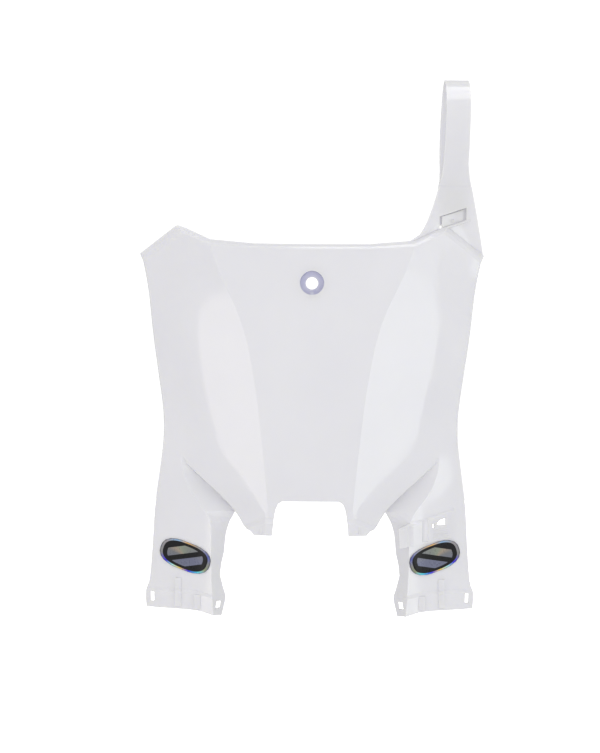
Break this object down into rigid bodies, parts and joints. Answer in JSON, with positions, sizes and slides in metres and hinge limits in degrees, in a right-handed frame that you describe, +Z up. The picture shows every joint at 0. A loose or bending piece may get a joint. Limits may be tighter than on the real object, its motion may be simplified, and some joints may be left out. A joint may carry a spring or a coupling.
{
  "type": "motorcycle front number board",
  "caption": "Thin one-piece front number board with a flat centre panel, swept side facets, legs that cover the fork tubes, a bolt hole, a strap loop and leg decals.",
  "frame": {"origin": "centre of the bolt's seat, on the floor of the recess in the centre panel", "axes": "-Y is the way the front faces and the way the bolt leaves, +Z is up towards the strap loop, +X is the viewer's right"},
  "size_m": [0.279, 0.0653, 0.4358],
  "materials": {
    "white_plastic": "white semi-gloss injection-moulded plastic with a faint cool tint",
    "decal_foil": "dark printed foil with a coloured rim"
  },
  "bodies": {
    "root": {"number_plate": "white_plastic", "left_decal": "decal_foil", "right_decal": "decal_foil"}
  },
  "joints": []
}
